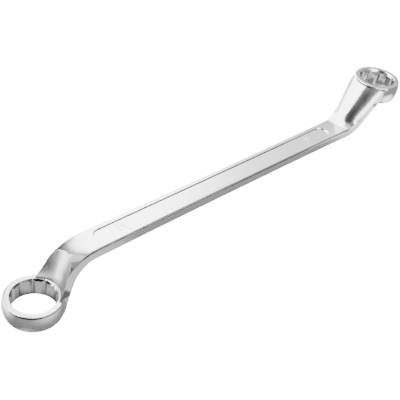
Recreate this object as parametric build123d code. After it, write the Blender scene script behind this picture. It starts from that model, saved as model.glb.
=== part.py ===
from build123d import *
from dataclasses import dataclass
import math
import os

# Double-ended ring spanner, deep offset, 18 x 19 mm, drop forged in one piece.
# X runs along the shank from the 19 mm ring to the 18 mm ring, Z is up.
# The origin is on the axis of the 19 mm ring, in its lower face. Millimetres.

# Rings: the 19 mm ring lies below the shank, the 18 mm ring above it
ring_span = 240.0
large_across_flats = 19.0
large_ring_offset = 20.25
large_ring_diameter = 28.8
large_ring_height = 10.0
small_across_flats = 18.0
small_ring_offset = 20.8
small_ring_diameter = 27.3
small_ring_height = 10.8
ring_upper_taper = 0.65
ring_lower_taper = 1.3
large_upper_edge_radius = 0.9
small_upper_edge_radius = 0.4
ring_lower_edge_radius = 1.2

# Twelve-point openings, broached through a drilled hole that blunts the twelve ridges
opening_clearance = 0.12
point_radius = 0.45
drilled_margin = 0.42
lead_in_margin = 0.05
free_lead_in_depth = 1.6
neck_lead_in_depth = 1.1

# Flat shank, a little wider at its ends than in the middle
shank_thickness = 5.6
shank_middle_width = 13.8
shank_end_width = 14.6
shank_edge_radius = 1.0

# Sunk panel on both faces of the shank, with drafted walls
panel_width = 9.0
panel_depth = 0.65
panel_draft = 30.0
panel_large_end = 33.0
panel_small_end = 40.0

# Cranked necks between shank and rings
large_neck_slope = 63.0
large_bend_radius = 18.5
large_foot_inset = 1.0
large_neck_width = 22.8
large_neck_side = 5.2
large_outer_crown = 4.9
large_inner_crown = 3.8
large_swell_power = 2.2
small_neck_slope = 54.5
small_bend_radius = 14.5
small_foot_inset = 0.6
small_neck_width = 22.8
small_neck_side = 4.2
small_outer_crown = 4.6
small_inner_crown = 4.0
small_swell_power = 0.9
neck_overrun = 5.0
foot_draft = 12.0
flat_crown = 0.05

# Places where the neck's section is set, as shares of its bend and of its straight
bend_shares = [0.0, 0.04, 0.12, 0.28, 0.5, 0.75, 1.0]
straight_shares = [0.33, 0.67, 1.0]

# Conical clearance for a nut or socket, turned round each ring's axis into its neck
clearance_margin = 0.7
clearance_draft = 18.0

overrun = 2.0


@dataclass
class End:
    """Everything in which one end of the spanner differs from the other."""

    across_flats: float
    offset: float
    diameter: float
    height: float
    free_taper: float
    free_edge_radius: float
    neck_taper: float
    neck_edge_radius: float
    slope: float
    bend_radius: float
    foot_inset: float
    neck_width: float
    neck_side: float
    outer_crown: float
    inner_crown: float
    swell_power: float


large = End(
    across_flats=large_across_flats,
    offset=large_ring_offset,
    diameter=large_ring_diameter,
    height=large_ring_height,
    free_taper=ring_lower_taper,
    free_edge_radius=ring_lower_edge_radius,
    neck_taper=ring_upper_taper,
    neck_edge_radius=large_upper_edge_radius,
    slope=large_neck_slope,
    bend_radius=large_bend_radius,
    foot_inset=large_foot_inset,
    neck_width=large_neck_width,
    neck_side=large_neck_side,
    outer_crown=large_outer_crown,
    inner_crown=large_inner_crown,
    swell_power=large_swell_power,
)

small = End(
    across_flats=small_across_flats,
    offset=small_ring_offset,
    diameter=small_ring_diameter,
    height=small_ring_height,
    free_taper=ring_upper_taper,
    free_edge_radius=small_upper_edge_radius,
    neck_taper=ring_lower_taper,
    neck_edge_radius=ring_lower_edge_radius,
    slope=small_neck_slope,
    bend_radius=small_bend_radius,
    foot_inset=small_foot_inset,
    neck_width=small_neck_width,
    neck_side=small_neck_side,
    outer_crown=small_outer_crown,
    inner_crown=small_inner_crown,
    swell_power=small_swell_power,
)


def section_face(half_width, side_height, outer_crown, inner_crown):
    """Cross-section of the forging: upright sides, bulged faces, rounded corners."""
    half_side = side_height / 2
    outer_left = (-half_width, -half_side)
    outer_right = (half_width, -half_side)
    inner_right = (half_width, half_side)
    inner_left = (-half_width, half_side)
    outer_middle = (0, -half_side - outer_crown)
    inner_middle = (0, half_side + inner_crown)
    outline = [
        ThreePointArc(outer_left, outer_middle, outer_right),
        Line(outer_right, inner_right),
        ThreePointArc(inner_right, inner_middle, inner_left),
        Line(inner_left, outer_left),
    ]
    face = make_face(outline)
    return fillet(face.vertices(), shank_edge_radius)


def placed_section(reach, rise, slope, half_width, side_height, outer_crown, inner_crown):
    """A section across the neck, in a frame whose X runs from the ring's axis to the
    shank and whose Z is measured from the shank's middle plane away from the ring."""
    angle = math.radians(slope)
    along = Vector(-math.cos(angle), 0, -math.sin(angle))
    plane = Plane(origin=(reach, 0, rise), x_dir=(0, 1, 0), z_dir=along)
    return plane * section_face(half_width, side_height, outer_crown, inner_crown)


def ease(share):
    """Zero to one with a level start and a level end."""
    return share * share * (3 - 2 * share)


def neck_line(end):
    """Foot of the neck's centre line, its bend's two ends, and the slope in radians."""
    angle = math.radians(end.slope)
    outer_half = end.neck_side / 2 + end.outer_crown
    foot_reach = end.diameter / 2 - end.foot_inset - outer_half * math.sin(angle)
    foot_rise = outer_half * math.cos(angle) - end.offset - end.height / 2
    crossing_reach = foot_reach - foot_rise / math.tan(angle)
    tangent = end.bend_radius * math.tan(angle / 2)
    bend_reach = crossing_reach + tangent
    bend_end_reach = crossing_reach - tangent * math.cos(angle)
    bend_end_rise = -tangent * math.sin(angle)
    return foot_reach, foot_rise, bend_reach, bend_end_reach, bend_end_rise, angle


def neck_places(end):
    """Where each section stands: reach, rise, slope, share of the bend, share of the length."""
    foot_reach, foot_rise, bend_reach, bend_end_reach, bend_end_rise, angle = neck_line(end)
    bend_length = end.bend_radius * angle
    straight_length = math.hypot(foot_reach - bend_end_reach, foot_rise - bend_end_rise)
    length = bend_length + straight_length
    places = []
    for share in bend_shares:
        reach = bend_reach - end.bend_radius * math.sin(angle * share)
        rise = end.bend_radius * math.cos(angle * share) - end.bend_radius
        places.append((reach, rise, end.slope * share, share, bend_length * share / length))
    buried_share = 1 + neck_overrun / straight_length
    for share in straight_shares + [buried_share]:
        reach = bend_end_reach + (foot_reach - bend_end_reach) * share
        rise = bend_end_rise + (foot_rise - bend_end_rise) * share
        run = bend_length + straight_length * min(share, 1)
        places.append((reach, rise, end.slope, 1, run / length))
    return places


def neck(end):
    """The cranked neck, lofted from the shank's end down into the ring."""
    swell = end.neck_width - shank_end_width
    thickening = end.neck_side - shank_thickness
    sections = []
    for reach, rise, slope, turned, run in neck_places(end):
        half_width = (shank_end_width + swell * run ** end.swell_power) / 2
        side_height = shank_thickness + thickening * ease(turned)
        outer_crown = flat_crown + (end.outer_crown - flat_crown) * ease(turned)
        inner_crown = flat_crown + (end.inner_crown - flat_crown) * ease(turned)
        sections.append(
            placed_section(reach, rise, slope, half_width, side_height, outer_crown, inner_crown)
        )
    return loft(sections) - foot_trim(end)


def foot_trim(end):
    """What is cut off the neck's foot, so that it fades into the ring's free edge."""
    free_face = -end.offset - end.height / 2
    free_radius = end.diameter / 2 - end.free_taper - end.free_edge_radius
    spread = end.height * math.tan(math.radians(90 - end.slope + foot_draft))
    block = Box(
        end.diameter * 3, end.diameter * 2, end.height,
        align=(Align.CENTER, Align.CENTER, Align.MIN),
    )
    kept = Cone(
        bottom_radius=free_radius,
        top_radius=free_radius + spread,
        height=end.height,
        align=(Align.CENTER, Align.CENTER, Align.MIN),
    )
    below = Box(
        end.diameter * 3, end.diameter * 2, (neck_overrun + overrun) * 2,
        align=(Align.CENTER, Align.CENTER, Align.MAX),
    )
    return Pos(0, 0, free_face) * (block - kept + below)


def ring_blank(end):
    """A solid ring blank with a bulged wall, standing on its free face."""
    radius = end.diameter / 2
    free_rim = (radius - end.free_taper, 0)
    neck_rim = (radius - end.neck_taper, end.height)
    outline = [
        Line((0, 0), free_rim),
        ThreePointArc(free_rim, (radius, end.height / 2), neck_rim),
        Line(neck_rim, (0, end.height)),
        Line((0, end.height), (0, 0)),
    ]
    blank = revolve(Plane.XZ * make_face(outline), Axis.Z)
    blank = fillet(rims(blank).first, end.free_edge_radius)
    return fillet(rims(blank).last, end.neck_edge_radius)


def rims(blank):
    """The level circular edges of a blank, lowest first."""
    return blank.edges().filter_by(GeomType.CIRCLE).filter_by(Plane.XY).sort_by(Axis.Z)


def opening(end):
    """Twelve-point hole with a lead-in at both faces, standing on the ring's free face."""
    flat_radius = (end.across_flats + opening_clearance) / 2
    first = RegularPolygon(radius=flat_radius, side_count=6, major_radius=False)
    second = RegularPolygon(radius=flat_radius, side_count=6, major_radius=False, rotation=30)
    star = first + second
    points = star.vertices().filter_by(
        lambda corner: math.hypot(corner.X, corner.Y) > flat_radius / math.cos(math.pi / 8)
    )
    star = fillet(points, point_radius)
    drilled_radius = flat_radius / math.cos(math.pi / 12) + drilled_margin
    outline = star + Circle(drilled_radius)
    hole = Pos(0, 0, -overrun) * extrude(outline, end.height + overrun * 2)
    free_lead_in = lead_in(end, drilled_radius, free_lead_in_depth)
    neck_lead_in = lead_in(end, drilled_radius, neck_lead_in_depth)
    return hole + free_lead_in + Pos(0, 0, end.height) * Rot(180, 0, 0) * neck_lead_in


def lead_in(end, drilled_radius, depth):
    """Cone that opens the drilled hole to the mouth, standing on its mouth."""
    return Cone(
        bottom_radius=lead_in_radius(end),
        top_radius=drilled_radius,
        height=depth,
        align=(Align.CENTER, Align.CENTER, Align.MIN),
    )


def lead_in_radius(end):
    """Radius of the opening's mouth, just outside the twelve points."""
    flat_radius = (end.across_flats + opening_clearance) / 2
    return flat_radius / math.cos(math.pi / 6) + lead_in_margin


def clearance(end):
    """Cone that clears a nut or socket above the ring's neck-side face."""
    height = end.offset - end.height / 2 + shank_thickness + end.inner_crown
    radius = lead_in_radius(end) + clearance_margin
    cone = Cone(
        bottom_radius=radius,
        top_radius=radius + height * math.tan(math.radians(clearance_draft)),
        height=height,
        align=(Align.CENTER, Align.CENTER, Align.MIN),
    )
    return Pos(0, 0, end.height) * cone


def spanner_end(end):
    """Ring and neck, below a shank that lies in the plane Z = 0, ring's axis on Z."""
    place = Pos(0, 0, -end.offset - end.height / 2)
    return place * ring_blank(end) + neck(end) - place * clearance(end) - place * opening(end)


def shank_bar():
    """The straight bar between the two necks, in the plane Z = 0."""
    large_reach = neck_line(large)[2]
    small_reach = neck_line(small)[2]
    places = [
        (large_reach, shank_end_width),
        (ring_span / 2, shank_middle_width),
        (ring_span - small_reach, shank_end_width),
    ]
    sections = []
    for reach, width in places:
        sections.append(
            placed_section(reach, 0, 0, width / 2, shank_thickness, flat_crown, flat_crown)
        )
    return loft(sections)


def panel():
    """One sunk panel, round-ended, cut from the shank's upper face."""
    length = ring_span - panel_large_end - panel_small_end
    middle = panel_large_end + length / 2
    flare = panel_depth * math.tan(math.radians(panel_draft))
    outline = SlotOverall(length - flare * 2, panel_width - flare * 2)
    cut = extrude(outline, panel_depth * 2, taper=-panel_draft)
    return Pos(middle, 0, shank_thickness / 2 - panel_depth) * cut


def spanner():
    """The whole forging, set on the 19 mm ring's free face."""
    small_end = Pos(ring_span, 0, 0) * Rot(0, 180, 0) * spanner_end(small)
    upper_panel = panel()
    lower_panel = Rot(180, 0, 0) * upper_panel
    body = spanner_end(large) + shank_bar() + small_end - upper_panel - lower_panel
    return Pos(0, 0, large.offset + large.height / 2) * body


os.makedirs("parts", exist_ok=True)
export_step(spanner(), "parts/spanner_forging.step")
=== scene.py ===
import math

import bpy
from mathutils import Matrix, Vector


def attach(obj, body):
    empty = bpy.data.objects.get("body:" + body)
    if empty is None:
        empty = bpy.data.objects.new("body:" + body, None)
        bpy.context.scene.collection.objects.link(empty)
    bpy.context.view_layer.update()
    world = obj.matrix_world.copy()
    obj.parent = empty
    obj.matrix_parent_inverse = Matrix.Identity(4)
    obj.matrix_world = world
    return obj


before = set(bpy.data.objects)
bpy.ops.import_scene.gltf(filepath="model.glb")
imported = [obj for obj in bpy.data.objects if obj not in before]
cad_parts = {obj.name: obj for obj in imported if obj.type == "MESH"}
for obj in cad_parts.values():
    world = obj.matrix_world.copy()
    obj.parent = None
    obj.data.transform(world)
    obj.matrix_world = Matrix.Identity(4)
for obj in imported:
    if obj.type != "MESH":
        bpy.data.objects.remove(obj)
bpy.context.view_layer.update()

# A double-ended ring spanner in satin chrome, lying on a pale floor among studio lamps and flags.
# Sheets close to it, seen only in reflections, paint highlights, glints, pools of light and shade
# into the chrome.
# Metres, in the frame of the imported model: X along the shank, Z up, the 19 mm ring at X = 0.

MM = 0.001
FORGING = "spanner_forging"

# Camera, solved from the rings and the shank in the photograph
CAMERA_PLACE = (-138.54 * MM, -211.84 * MM, 268.88 * MM)
CAMERA_RIGHT = (0.728000, -0.674014, 0.125381)
CAMERA_UP = (0.348544, 0.521355, 0.778914)
CAMERA_BACK = (-0.590367, -0.523349, 0.614470)
CAMERA_CLIP = (0.01, 20.0)
SENSOR_WIDTH = 36.0
PICTURE_WIDTH = 400
FOCAL_LENGTH = 785.65 / PICTURE_WIDTH * SENSOR_WIDTH

# Shank and rings, as packed
RING_SPAN = 240.0 * MM
SHANK_MIDDLE = 25.25 * MM
SHANK_HALF = 2.8 * MM
PANEL_DEPTH = 0.65 * MM
PANEL_HALF_WIDTH = 4.6 * MM
BORE_RADIUS = 11.3 * MM
BORE_BLEND = 0.2 * MM
LARGE_FACE = 10.0 * MM
SMALL_FACE = 40.65 * MM
CLEARANCE_START = 0.1 * MM
CLEARANCE_RADIUS = 11.85 * MM
CLEARANCE_SPREAD = 0.325

# Size marks, raised in the sunk panels of the shank: text and place along the shank
MARKS = (("19", 48.5 * MM), ("18", 185.0 * MM))
MARK_HEIGHT = 4.6 * MM
MARK_RELIEF = 0.2 * MM
MARK_ROOT = 0.1 * MM
MARK_EDGE = 0.06 * MM
MARK_MERGE = 0.002 * MM
MARK_CURVE_STEPS = 6
MARK_SMOOTH_ANGLE = math.radians(40)
CAPITAL_SHARE = 0.7

# Satin chrome: its colour as plated and as worn, its roughness and what changes it locally
PLATED = (0.47, 0.475, 0.48, 1.0)
WORN = (0.54, 0.54, 0.535, 1.0)
SATIN_ROUGHNESS = (0.12, 0.155)
PANEL_DULLNESS = 0.025
BROACH_DULLNESS = 0.07
LATHE_DULLNESS = 0.08
LATHE_GRAIN = 0.95
EDGE_GLOSS = -0.03
EDGE_RADIUS = 0.25 * MM

# Surface patterns, as noise scales, and their relief as strength and height
GRAIN_SCALE = 4200.0
WAVE_SCALE = 140.0
CLOUD_SCALE = 90.0
STREAK_SCALE = 2600.0
STREAK_STRETCH = (1.0, 1.0, 0.03)
WAVE_RELIEF = (0.03, 0.04 * MM)
GRAIN_RELIEF = (0.012, 0.02 * MM)
STREAK_RELIEF = (0.3, 0.02 * MM)

# Floor and world: what the camera sees of them, and the even light
WHITE = (1.0, 1.0, 1.0, 1.0)
FLOOR_COLOUR = (0.93, 0.93, 0.93, 1.0)
FLOOR_SIZE = 6.0
WHITE_GLOW = 16.0
WORLD_LIGHT = 0.75

# Points from which the standing cards are laid out
MIDDLE = (0.12, 0.0, 0.03)
FAR_NECK = (0.225, 0.0, 0.045)
NEAR_CONE = (0.012, 0.0, 0.022)

# Standing cards: name, point, azimuths and elevations that the card fills from there in
# degrees, distance, glow, feathers across and up, depth
STANDING_CARDS = (
    ("key_panel", MIDDLE, (55, 162), (-4, 75), 1.35, 14.0, (0.08, 0.08), 1),
    ("right_panel", MIDDLE, (36, 82), (10, 80), 1.25, 14.0, (0.3, 0.1), 1),
    ("side_panel", MIDDLE, (8, 66), (23, 70), 1.5, 4.3, (0.2, 0.12), 1),
    ("white_panel", FAR_NECK, (220, 285), (-8, 34), 0.15, 10.0, (0.15, 0.25), 1),
    # Painted reflection: a dark sheet close by paints the dark stripe down the far neck.
    ("stripe_card", FAR_NECK, (155, 220), (-4, 46), 0.13, 0.13, (0.4, 0.5), 2),
    # Painted highlight: a bright sheet close by paints the light streak down the near clearance.
    ("cone_light", NEAR_CONE, (124, 162), (-24, 5), 0.09, 13.0, (0.5, 0.35), 1),
    # Painted shade: a dark sheet close by paints the dark crescent over the near arch.
    ("arch_card", NEAR_CONE, (112, 190), (3, 39), 0.1, 0.03, (0.2, 0.25), 1),
)

# Turns of the placed cards, in degrees about X, Y and Z
FLAT = (0, 0, 0)
FACING_DOWN = (180, 0, 0)
FACING_FRONT = (90, 0, 0)
FACING_BACK = (90, 0, 180)
FACING_RIGHT = (90, 0, 90)

# Placed cards: name, place, turn, width and height, glow, feathers across and up, depth, fall
PLACED_CARDS = (
    ("left_card", (0.0173, 0.9765, 0.9), (90, 15.9, 282), (2.0, 2.2), 0.02, (0.325, 0.03), 3, 1),
    # Dark sheets beside the near ring paint shade into its walls and the dark line along its top
    # edge.
    ("ring_card", (-0.106, 0.004, 0.037), FACING_RIGHT, (0.11, 0.074), 0.03, (0.15, 0.2), 1, 1),
    ("front_card", (-0.0345, -0.0289, 0.035), (90, 0, 130), (0.09, 0.07), 0.02, (0.1, 0.05), 1, 1),
    # Along the shank's front, dark sheets paint the dark line at its edge, and edge_glint, a bright
    # strip, paints the glint under it.
    ("edge_card", (0.12, -0.04, 0.031), FACING_BACK, (0.19, 0.032), 0.02, (0.03, 0.2), 2, 1),
    ("edge_glint", (0.12, -0.0405, 0.009), FACING_BACK, (0.19, 0.014), 1.7, (0.05, 0.3), 1, 1),
    ("edge_card_top", (0.088, -0.041, 0.062), FACING_BACK, (0.124, 0.04), 0.25, (0.05, 0.4), 2, 1),
    ("overhead", (0.12, -0.05, 1.0), FACING_DOWN, (0.9, 0.7), 2.6, (0.2, 0.3), 1, 1),
    # Sheets lying on the floor: painted pools of light and painted shade on the floor, as the chrome
    # reflects it.
    ("floor_side", (0.1, -0.1, 0.0003), FLAT, (0.3, 0.18), 0.78, (0.2, 0.15), 1, 1),
    ("floor_ring", (0.02, -0.05, 0.0004), FLAT, (0.1, 0.07), 2.5, (0.4, 0.25), 1, 1),
    ("floor_bore", (-0.002, -0.002, 0.0005), FLAT, (0.024, 0.024), 1.15, (0.2, 0.2), 1, 1),
    ("floor_bore_light", (-0.009, 0.0, 0.0006), FLAT, (0.01, 0.024), 1.9, (0.4, 0.2), 1, 1),
    # Sheets just under the far bore: painted shade and painted glints in its walls.
    ("far_bore_shade", (0.24, 0.0, 0.0405), FLAT, (0.026, 0.026), 0.45, (0.05, 0.05), 1, 1),
    ("far_bore_light", (0.2315, 0.0, 0.0406), FLAT, (0.007, 0.026), 2.2, (0.25, 0.2), 1, 1),
    ("far_bore_glint", (0.2405, -0.004, 0.0406), (0, 0, 25), (0.004, 0.02), 2.6, (0.25, 0.2), 1, 1),
    ("far_bore_side", (0.2475, -0.003, 0.0406), FLAT, (0.003, 0.02), 3.0, (0.25, 0.2), 1, 1),
    # Sheets on the near ring's mouth: painted shade over it and a painted highlight across it, and a
    # small dark sheet that paints shade on the near clearance's flank.
    ("mouth_shade", (0.0, 0.0, 0.0102), FLAT, (0.032, 0.032), 0.3, (0.05, 0.05), 1, 1),
    ("mouth_light", (-0.0045, 0.0115, 0.0103), (0, 0, 150), (0.032, 0.02), 6.5, (0.12, 0.5), 1, 7),
    ("wing_card", (0.0085, 0.0092, 0.012), FACING_FRONT, (0.009, 0.004), 0.3, (0.2, 0.2), 1, 1),
    # More sheets on the floor: painted pools of light and painted shade, as the chrome reflects it.
    ("floor_pool_near", (0.045, -0.035, 0.0005), FLAT, (0.06, 0.05), 1.6, (0.4, 0.4), 1, 1),
    ("floor_middle", (-0.03, 0.045, 0.0003), FLAT, (0.12, 0.12), 0.2, (0.15, 0.15), 1, 1),
    ("floor_pool", (-0.036, 0.035, 0.0006), (0, 0, 6), (0.115, 0.12), 8.0, (0.5, 0.35), 1, 4),
    ("floor_pool_far", (0.27, -0.06, 0.0005), FLAT, (0.1, 0.1), 5.5, (0.4, 0.4), 1, 1),
    ("floor_pool_back", (0.425, 0.35, 0.0004), FLAT, (0.48, 0.5), 12.0, (0.15, 0.15), 1, 1),
    ("floor_dark_left", (-0.14, 0.02, 0.0005), FLAT, (0.13, 0.16), 0.1, (0.25, 0.2), 1, 1),
    ("floor_dark_back", (0.038, 0.125, 0.0004), FLAT, (0.09, 0.16), 0.03, (0.2, 0.15), 3, 1),
)


def place_camera():
    """The camera stands where the photograph was taken from."""
    data = bpy.data.cameras.new("photo_camera")
    data.sensor_width = SENSOR_WIDTH
    data.lens = FOCAL_LENGTH
    data.clip_start, data.clip_end = CAMERA_CLIP
    camera = bpy.data.objects.new("photo_camera", data)
    bpy.context.scene.collection.objects.link(camera)
    columns = [Vector(v) for v in (CAMERA_RIGHT, CAMERA_UP, CAMERA_BACK)]
    turn = Matrix(columns).transposed().to_4x4()
    camera.matrix_world = Matrix.Translation(Vector(CAMERA_PLACE)) @ turn
    bpy.context.scene.camera = camera


def deselect():
    bpy.ops.object.select_all(action="DESELECT")


def new_material(name):
    material = bpy.data.materials.new(name)
    material.use_nodes = True
    return material, material.node_tree


def new_group(name, inputs, outputs):
    """An empty shader node group with number sockets, and the object's own coordinates."""
    group = bpy.data.node_groups.new(name, "ShaderNodeTree")
    for label in inputs:
        group.interface.new_socket(label, in_out="INPUT", socket_type="NodeSocketFloat")
    for label in outputs:
        group.interface.new_socket(label, in_out="OUTPUT", socket_type="NodeSocketFloat")
    given = group.nodes.new("NodeGroupInput")
    result = group.nodes.new("NodeGroupOutput")
    place = group.nodes.new("ShaderNodeTexCoord")
    return group, given, result, place.outputs["Object"]


def set_or_link(tree, socket, value):
    if isinstance(value, bpy.types.NodeSocket):
        tree.links.new(value, socket)
    else:
        socket.default_value = value


def reckon(tree, operation, *values):
    """One step of arithmetic on numbers or sockets."""
    node = tree.nodes.new("ShaderNodeMath")
    node.operation = operation
    for socket, value in zip(node.inputs, values):
        set_or_link(tree, socket, value)
    return node.outputs["Value"]


def reckon_vector(tree, operation, result, *values):
    """One step of arithmetic on vectors."""
    node = tree.nodes.new("ShaderNodeVectorMath")
    node.operation = operation
    for socket, value in zip(node.inputs, values):
        set_or_link(tree, socket, value)
    return node.outputs[result]


def noise(tree, vector, scale, detail, stretch=(1.0, 1.0, 1.0)):
    """Noise on the object's coordinates, stretched along the axes."""
    texture = tree.nodes.new("ShaderNodeTexNoise")
    texture.inputs["Detail"].default_value = detail
    scaled = reckon_vector(tree, "MULTIPLY", "Vector", vector, stretch)
    tree.links.new(scaled, texture.inputs["Vector"])
    set_or_link(tree, texture.inputs["Scale"], scale)
    return texture.outputs["Fac"]


def ramp(tree, value, low, high, start, end):
    """A value spread from low..high to start..end, smooth at both ends."""
    spread = tree.nodes.new("ShaderNodeMapRange")
    spread.interpolation_type = "SMOOTHSTEP"
    tree.links.new(value, spread.inputs["Value"])
    for label, number in (("From Min", low), ("From Max", high), ("To Min", start), ("To Max", end)):
        set_or_link(tree, spread.inputs[label], number)
    return spread.outputs["Result"]


def satin_grain_group():
    """Fine blasted grain of satin chrome, the slow waves of the forging under it, and clouds."""
    group, given, result, place = new_group(
        "satin_grain",
        ("Grain scale", "Roughness low", "Roughness high"),
        ("Grain", "Waves", "Roughness", "Cloud"),
    )
    group.links.new(noise(group, place, given.outputs["Grain scale"], 3.0), result.inputs["Grain"])
    group.links.new(noise(group, place, WAVE_SCALE, 2.0), result.inputs["Waves"])
    cloud = noise(group, place, CLOUD_SCALE, 4.0)
    group.links.new(cloud, result.inputs["Cloud"])
    low = given.outputs["Roughness low"]
    high = given.outputs["Roughness high"]
    group.links.new(ramp(group, cloud, 0.3, 0.7, low, high), result.inputs["Roughness"])
    return group


def end_masks(group, place, height, centre, face, way):
    """Distance from a ring's axis, and a mask of the turned clearance over its neck side."""
    offset = reckon_vector(group, "SUBTRACT", "Vector", place, (centre, 0.0, 0.0))
    flat = reckon_vector(group, "MULTIPLY", "Vector", offset, (1.0, 1.0, 0.0))
    radius = reckon_vector(group, "LENGTH", "Value", flat)
    level = reckon(group, "MULTIPLY", reckon(group, "SUBTRACT", height, face), way)
    above = reckon(group, "GREATER_THAN", level, CLEARANCE_START)
    wall = reckon(group, "MULTIPLY_ADD", level, CLEARANCE_SPREAD, CLEARANCE_RADIUS)
    cone = reckon(group, "MULTIPLY", above, reckon(group, "LESS_THAN", radius, wall))
    return radius, cone


def worked_places_group():
    """Masks of the broached bores, the turned clearances and the sunk panels, and the broach's
    fine streaks."""
    group, _, result, place = new_group(
        "worked_places", (), ("Bore", "Turned", "Panel", "Streaks")
    )
    parts = group.nodes.new("ShaderNodeSeparateXYZ")
    group.links.new(place, parts.inputs["Vector"])
    z = parts.outputs["Z"]
    near_radius, near_cone = end_masks(group, place, z, 0.0, LARGE_FACE, 1.0)
    far_radius, far_cone = end_masks(group, place, z, RING_SPAN, SMALL_FACE, -1.0)
    turned = reckon(group, "MAXIMUM", near_cone, far_cone)
    nearest = reckon(group, "MINIMUM", near_radius, far_radius)
    bore = ramp(group, nearest, BORE_RADIUS - BORE_BLEND, BORE_RADIUS, 1.0, 0.0)
    height = reckon(group, "ABSOLUTE", reckon(group, "SUBTRACT", z, SHANK_MIDDLE))
    across = reckon(group, "ABSOLUTE", parts.outputs["Y"])
    sunk = reckon(group, "LESS_THAN", height, SHANK_HALF - PANEL_DEPTH / 2)
    inside = reckon(group, "LESS_THAN", across, PANEL_HALF_WIDTH)
    panel = reckon(group, "MULTIPLY", sunk, inside)
    streaks = noise(group, place, STREAK_SCALE, 2.0, STREAK_STRETCH)
    masks = {"Bore": bore, "Turned": turned, "Panel": panel, "Streaks": streaks}
    for label, socket in masks.items():
        group.links.new(socket, result.inputs[label])
    return group


def worn_edges(tree, rounded, cloud):
    """A mask of the edges where handling has polished the plating, in patches."""
    surface = tree.nodes.new("ShaderNodeNewGeometry")
    facing = reckon_vector(tree, "DOT_PRODUCT", "Value", surface.outputs["Normal"], rounded)
    edge = ramp(tree, facing, 0.8, 0.995, 1.0, 0.0)
    patchy = ramp(tree, cloud, 0.35, 0.6, 0.3, 1.0)
    return reckon(tree, "MULTIPLY", edge, patchy)


def satin_chrome():
    """Satin chrome plating: blasted, brighter where handling has polished the edges, with
    broached bores and turned clearances."""
    material, tree = new_material("satin_chrome")
    shader = tree.nodes["Principled BSDF"]
    shader.inputs["Metallic"].default_value = 1.0
    grain = tree.nodes.new("ShaderNodeGroup")
    grain.node_tree = satin_grain_group()
    grain.inputs["Grain scale"].default_value = GRAIN_SCALE
    for label, number in zip(("Roughness low", "Roughness high"), SATIN_ROUGHNESS):
        grain.inputs[label].default_value = number
    worked = tree.nodes.new("ShaderNodeGroup")
    worked.node_tree = worked_places_group()
    bore = worked.outputs["Bore"]
    turned = worked.outputs["Turned"]
    rounded = tree.nodes.new("ShaderNodeBevel")
    rounded.samples = 6
    rounded.inputs["Radius"].default_value = EDGE_RADIUS
    normal = rounded.outputs["Normal"]
    wear = worn_edges(tree, normal, grain.outputs["Cloud"])

    tone = tree.nodes.new("ShaderNodeMix")
    tone.data_type = "RGBA"
    tone.inputs["A"].default_value = PLATED
    tone.inputs["B"].default_value = WORN
    tree.links.new(wear, tone.inputs["Factor"])
    tree.links.new(tone.outputs["Result"], shader.inputs["Base Color"])

    streaky = ramp(tree, worked.outputs["Streaks"], 0.3, 0.7, 0.0, BROACH_DULLNESS)
    rough = grain.outputs["Roughness"]
    for mask, change in (
        (worked.outputs["Panel"], PANEL_DULLNESS),
        (bore, streaky),
        (turned, LATHE_DULLNESS),
        (wear, EDGE_GLOSS),
    ):
        rough = reckon(tree, "MULTIPLY_ADD", mask, change, rough)
    tree.links.new(rough, shader.inputs["Roughness"])

    # The lathe's rings run round the clearance, so its gloss spreads up and down the wall
    upright = tree.nodes.new("ShaderNodeCombineXYZ")
    upright.inputs["Z"].default_value = 1.0
    tree.links.new(upright.outputs["Vector"], shader.inputs["Tangent"])
    lathed = reckon(tree, "MULTIPLY", turned, LATHE_GRAIN)
    tree.links.new(lathed, shader.inputs["Anisotropic"])

    streaks = reckon(tree, "MULTIPLY", worked.outputs["Streaks"], bore)
    for pattern, relief in (
        (grain.outputs["Waves"], WAVE_RELIEF),
        (grain.outputs["Grain"], GRAIN_RELIEF),
        (streaks, STREAK_RELIEF),
    ):
        bump = tree.nodes.new("ShaderNodeBump")
        for label, number in zip(("Strength", "Distance"), relief):
            bump.inputs[label].default_value = number
        tree.links.new(pattern, bump.inputs["Height"])
        tree.links.new(normal, bump.inputs["Normal"])
        normal = bump.outputs["Normal"]
    tree.links.new(normal, shader.inputs["Normal"])
    return material


def camera_glow(tree):
    """A glow that only the camera sees, so that floor and background come out white."""
    path = tree.nodes.new("ShaderNodeLightPath")
    return reckon(tree, "MULTIPLY", path.outputs["Is Camera Ray"], WHITE_GLOW)


def pale_floor():
    bpy.ops.mesh.primitive_plane_add(size=FLOOR_SIZE, location=(RING_SPAN / 2, 0.0, 0.0))
    floor = bpy.context.object
    floor.name = "floor"
    material, tree = new_material("pale_floor")
    shader = tree.nodes["Principled BSDF"]
    shader.inputs["Base Color"].default_value = FLOOR_COLOUR
    shader.inputs["Roughness"].default_value = 0.9
    shader.inputs["Specular IOR Level"].default_value = 0.0
    shader.inputs["Emission Color"].default_value = WHITE
    tree.links.new(camera_glow(tree), shader.inputs["Emission Strength"])
    floor.data.materials.append(material)


def light_world():
    """Even light from all sides, and white for the camera."""
    world = bpy.data.worlds.new("studio")
    world.use_nodes = True
    tree = world.node_tree
    background = tree.nodes["Background"]
    background.inputs["Color"].default_value = WHITE
    total = reckon(tree, "ADD", camera_glow(tree), WORLD_LIGHT)
    tree.links.new(total, background.inputs["Strength"])
    bpy.context.scene.world = world


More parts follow.
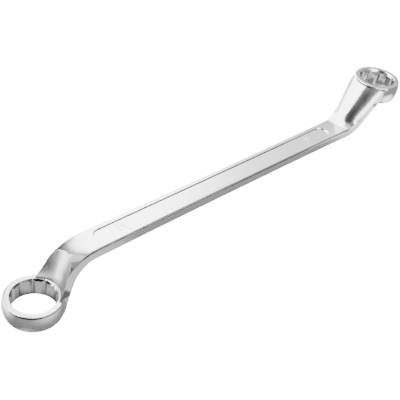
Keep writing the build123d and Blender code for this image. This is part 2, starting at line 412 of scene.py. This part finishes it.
def soft_edge_group():
    """One inside a card, falling softly to zero at its four edges."""
    group, given, result, place = new_group(
        "soft_edge", ("Feather across", "Feather up", "Depth", "Fall"), ("Mask",)
    )
    parts = group.nodes.new("ShaderNodeSeparateXYZ")
    group.links.new(place, parts.inputs["Vector"])
    falls = []
    for axis, feather in (("X", "Feather across"), ("Y", "Feather up")):
        size = reckon(group, "ABSOLUTE", parts.outputs[axis])
        inner = reckon(group, "SUBTRACT", 0.5, given.outputs[feather])
        falls.append(ramp(group, size, inner, 0.5, 1.0, 0.0))
    peaked = reckon(group, "POWER", reckon(group, "MULTIPLY", *falls), given.outputs["Fall"])
    clear = reckon(group, "SUBTRACT", 1.0, peaked)
    clear = reckon(group, "POWER", clear, given.outputs["Depth"])
    group.links.new(reckon(group, "SUBTRACT", 1.0, clear), result.inputs["Mask"])
    return group


def card_material(soft_edge, name, glow, feathers, depth, fall):
    """A glow in front that turns clear towards the card's edges. The back is all clear."""
    material, tree = new_material(name)
    tree.nodes.remove(tree.nodes["Principled BSDF"])
    light = tree.nodes.new("ShaderNodeEmission")
    light.inputs["Strength"].default_value = glow
    clear = tree.nodes.new("ShaderNodeBsdfTransparent")
    mask = tree.nodes.new("ShaderNodeGroup")
    mask.node_tree = soft_edge
    for socket, number in zip(mask.inputs, (*feathers, depth, fall)):
        socket.default_value = number
    side = tree.nodes.new("ShaderNodeNewGeometry")
    front = reckon(tree, "SUBTRACT", mask.outputs["Mask"], side.outputs["Backfacing"])
    front.node.use_clamp = True
    mix = tree.nodes.new("ShaderNodeMixShader")
    tree.links.new(front, mix.inputs["Fac"])
    tree.links.new(clear.outputs["BSDF"], mix.inputs[1])
    tree.links.new(light.outputs["Emission"], mix.inputs[2])
    tree.links.new(mix.outputs["Shader"], tree.nodes["Material Output"].inputs["Surface"])
    return material


def card(soft_edge, name, place, turn, size, glow, feathers, depth, fall):
    """A sheet, bright or dark, soft at its edges. Only reflections see it, from its front: far off
    it acts as a studio lamp or flag, close by it paints a highlight, glint, pool of light or shade
    into the chrome.
    """
    bpy.ops.mesh.primitive_plane_add(size=1.0)
    plane = bpy.context.object
    plane.name = name
    plane.scale = (*size, 1.0)
    plane.rotation_euler = [math.radians(angle) for angle in turn]
    plane.location = place
    plane.visible_camera = False
    plane.visible_diffuse = False
    plane.visible_shadow = False
    plane.visible_transmission = False
    plane.data.materials.append(card_material(soft_edge, name, glow, feathers, depth, fall))


def standing_card(soft_edge, name, point, azimuths, elevations, distance, glow, feathers, depth):
    """An upright card that fills a range of directions, in degrees, seen from one point."""
    x, y, z = point
    middle = sum(azimuths) / 2
    heading = math.radians(middle)
    half = math.radians((azimuths[1] - azimuths[0]) / 2)
    low, high = (z + distance * math.tan(math.radians(angle)) for angle in elevations)
    centre_x = x + distance * math.cos(heading)
    centre_y = y + distance * math.sin(heading)
    place = (centre_x, centre_y, (low + high) / 2)
    size = (2 * distance * math.tan(half), high - low)
    card(soft_edge, name, place, (90, 0, middle - 90), size, glow, feathers, depth, 1)


def size_mark(text, along, side, material):
    """A plain size number, raised from the floor of the upper or the lower panel."""
    deselect()
    bpy.ops.object.text_add()
    letters = bpy.context.object
    letters.data.body = text
    letters.data.size = MARK_HEIGHT / CAPITAL_SHARE
    letters.data.align_x = "CENTER"
    letters.data.align_y = "CENTER"
    letters.data.resolution_u = MARK_CURVE_STEPS
    letters.data.extrude = (MARK_RELIEF + MARK_ROOT) / 2 - MARK_EDGE
    letters.data.bevel_depth = MARK_EDGE
    bpy.ops.object.convert(target="MESH")
    letters = bpy.context.object
    bpy.ops.object.mode_set(mode="EDIT")
    bpy.ops.mesh.select_all(action="SELECT")
    bpy.ops.mesh.remove_doubles(threshold=MARK_MERGE)
    bpy.ops.mesh.normals_make_consistent(inside=False)
    bpy.ops.object.mode_set(mode="OBJECT")
    rise = SHANK_HALF - PANEL_DEPTH + (MARK_RELIEF - MARK_ROOT) / 2
    letters.rotation_euler = (0.0 if side > 0 else math.pi, 0.0, 0.0)
    letters.location = (along, 0.0, SHANK_MIDDLE + side * rise)
    bpy.ops.object.transform_apply(location=True, rotation=True, scale=True)
    letters.name = "mark_" + text + ("_upper" if side > 0 else "_lower")
    letters.data.name = letters.name
    letters.data.materials.clear()
    letters.data.materials.append(material)
    bpy.ops.object.shade_smooth_by_angle(angle=MARK_SMOOTH_ANGLE)
    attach(letters, "root")


deselect()
chrome = satin_chrome()
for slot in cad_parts[FORGING].material_slots:
    slot.material = chrome
for text, along in MARKS:
    for side in (1, -1):
        size_mark(text, along, side, chrome)

deselect()
pale_floor()
light_world()
soft_edge = soft_edge_group()
for row in STANDING_CARDS:
    standing_card(soft_edge, *row)
for row in PLACED_CARDS:
    card(soft_edge, *row)
place_camera()
